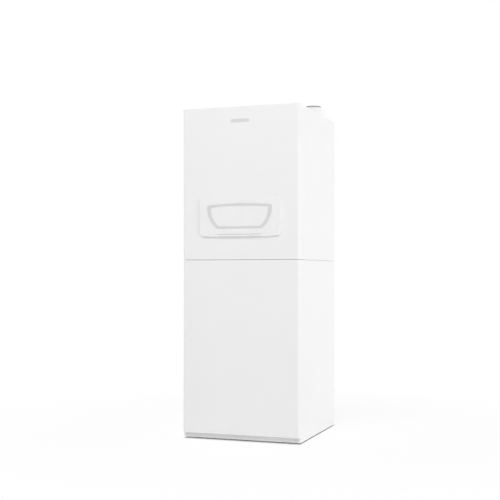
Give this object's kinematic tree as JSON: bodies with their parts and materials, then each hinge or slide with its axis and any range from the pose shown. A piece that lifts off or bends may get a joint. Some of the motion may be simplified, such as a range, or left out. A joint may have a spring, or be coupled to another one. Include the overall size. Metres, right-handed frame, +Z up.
{
  "type": "condensing_gas_boiler",
  "caption": "Floor-standing white condensing gas boiler with a hot-water tank below, a hinged control flap and a flue socket on top.",
  "frame": {"origin": "on the floor under the middle of the cabinet", "axes": "+Z up, front towards -Y, +X to the right seen from the front"},
  "size_m": [0.6, 0.678, 1.684],
  "materials": {
    "white_enamel": "smooth white powder coat",
    "white_plastic": "satin white moulding",
    "grey_trim": "light grey satin trim",
    "galvanised": "zinc-coated sheet",
    "console_grey": "grey moulded fascia",
    "dark_plastic": "black moulding",
    "screen_glass": "dark display window",
    "clear_lens": "clear window",
    "dial_white": "white dial",
    "cast_aluminium": "sand-cast aluminium",
    "machined_steel": "plain steel",
    "copper": "drawn copper tube",
    "brass": "plain brass",
    "grey_polymer": "grey polypropylene",
    "white_polymer": "white polypropylene",
    "seal_rubber": "black rubber seal",
    "vessel_red": "red enamel",
    "pump_paint": "dark cataphoretic coat",
    "safety_red": "red knob",
    "tank_enamel": "blue-grey primer",
    "insulation": "expanded foam shell",
    "ceramic_white": "glazed ceramic",
    "magnesium": "cast rod"
  },
  "bodies": {
    "cabinet": {"base_tray": "white_enamel", "frame_posts": "galvanised", "mid_deck": "galvanised", "back_panel": "galvanised", "top_cover": "white_enamel", "upper_left_side": "white_enamel", "upper_right_side": "white_enamel", "lower_left_side": "white_enamel", "lower_right_side": "white_enamel", "control_box": "grey_polymer", "control_fascia": "console_grey", "display_screen": "screen_glass", "gauge_body": "dial_white", "gauge_lens": "clear_lens", "heat_exchanger": "cast_aluminium", "burner_hood": "cast_aluminium", "fan_volute": "cast_aluminium", "fan_motor": "dark_plastic", "venturi": "cast_aluminium", "gas_valve": "cast_aluminium", "air_silencer": "dark_plastic", "ignition_electrode": "ceramic_white", "condensate_sump": "grey_polymer", "condensate_trap": "grey_polymer", "flue_duct": "white_polymer", "flue_seal": "seal_rubber", "flue_collar": "white_polymer", "pump_volute": "pump_paint", "pump_motor": "dark_plastic", "heating_pipes": "copper", "supply_pipes": "copper", "diverter_valve": "brass", "safety_valve": "brass", "expansion_vessel": "vessel_red", "tank_vessel": "tank_enamel", "tank_insulation": "insulation", "tank_anode": "magnesium", "drain_cock": "brass", "mains_gland": "dark_plastic"},
    "upper_front": {"upper_front_panel": "white_enamel", "flap_hinge_lugs": "white_plastic"},
    "lower_front": {"lower_front_panel": "white_enamel"},
    "flap": {"control_flap": "white_plastic", "flap_trim_ring": "grey_trim", "flap_centre_plate": "white_plastic", "flap_hinge_pins": "machined_steel"},
    "heating_dial": {"heating_knob": "dark_plastic"},
    "hot_water_dial": {"hot_water_knob": "dark_plastic"},
    "minus_key": {"button_minus": "dark_plastic"},
    "plus_key": {"button_plus": "dark_plastic"},
    "reset_key": {"button_reset": "safety_red"},
    "power_switch": {"power_rocker": "dark_plastic"},
    "gauge_pointer": {"gauge_needle": "dark_plastic"},
    "fan_wheel": {"fan_impeller": "grey_polymer"},
    "relief_knob": {"safety_valve_knob": "safety_red"},
    "drain_knob": {"drain_cock_knob": "dark_plastic"},
    "foot_fl": {"foot_front_left": "dark_plastic"},
    "foot_fr": {"foot_front_right": "dark_plastic"},
    "foot_rl": {"foot_rear_left": "dark_plastic"},
    "foot_rr": {"foot_rear_right": "dark_plastic"}
  },
  "joints": [
    {"name": "upper_front_pull", "type": "slide", "parent": "cabinet", "child": "upper_front", "axis": [0, -1, 0], "range_m": [0, 0.35]},
    {"name": "lower_front_pull", "type": "slide", "parent": "cabinet", "child": "lower_front", "axis": [0, -1, 0], "range_m": [0, 0.35]},
    {"name": "flap_hinge", "type": "hinge", "parent": "upper_front", "child": "flap", "pos_m": [0, -0.3297, 1.1698], "axis": [-1, 0, 0], "range_deg": [0, 85]},
    {"name": "heating_turn", "type": "hinge", "parent": "cabinet", "child": "heating_dial", "pos_m": [-0.072, -0.312, 1.08], "axis": [0, -1, 0], "range_deg": [-135, 135]},
    {"name": "hot_water_turn", "type": "hinge", "parent": "cabinet", "child": "hot_water_dial", "pos_m": [-0.014, -0.312, 1.08], "axis": [0, -1, 0], "range_deg": [-135, 135]},
    {"name": "power_rock", "type": "hinge", "parent": "cabinet", "child": "power_switch", "pos_m": [0.158, -0.312, 1.08], "axis": [1, 0, 0], "range_deg": [-16, 0]},
    {"name": "pointer_turn", "type": "hinge", "parent": "cabinet", "child": "gauge_pointer", "pos_m": [-0.142, -0.312, 1.08], "axis": [0, 1, 0], "range_deg": [0, 270], "stiffness_Nm_per_rad": 0.0005},
    {"name": "fan_spin", "type": "hinge", "parent": "cabinet", "child": "fan_wheel", "pos_m": [0.03, 0.02, 1.4806], "axis": [0, 1, 0], "continuous": true},
    {"name": "relief_twist", "type": "hinge", "parent": "cabinet", "child": "relief_knob", "pos_m": [-0.19, 0.2, 0.99], "axis": [0, 0, 1], "range_deg": [0, 90]},
    {"name": "drain_turn", "type": "hinge", "parent": "cabinet", "child": "drain_knob", "pos_m": [-0.095, -0.29, 0.1803], "axis": [0, -1, 0], "range_deg": [0, 360]},
    {"name": "minus_press", "type": "slide", "parent": "cabinet", "child": "minus_key", "axis": [0, 1, 0], "range_m": [0, 0.002], "stiffness_N_per_m": 600},
    {"name": "plus_press", "type": "slide", "parent": "cabinet", "child": "plus_key", "axis": [0, 1, 0], "range_m": [0, 0.002], "stiffness_N_per_m": 600},
    {"name": "reset_press", "type": "slide", "parent": "cabinet", "child": "reset_key", "axis": [0, 1, 0], "range_m": [0, 0.002], "stiffness_N_per_m": 600},
    {"name": "level_fl", "type": "slide", "parent": "cabinet", "child": "foot_fl", "axis": [0, 0, -1], "range_m": [0, 0.02]},
    {"name": "level_fr", "type": "slide", "parent": "cabinet", "child": "foot_fr", "axis": [0, 0, -1], "range_m": [0, 0.02]},
    {"name": "level_rl", "type": "slide", "parent": "cabinet", "child": "foot_rl", "axis": [0, 0, -1], "range_m": [0, 0.02]},
    {"name": "level_rr", "type": "slide", "parent": "cabinet", "child": "foot_rr", "axis": [0, 0, -1], "range_m": [0, 0.02]}
  ]
}
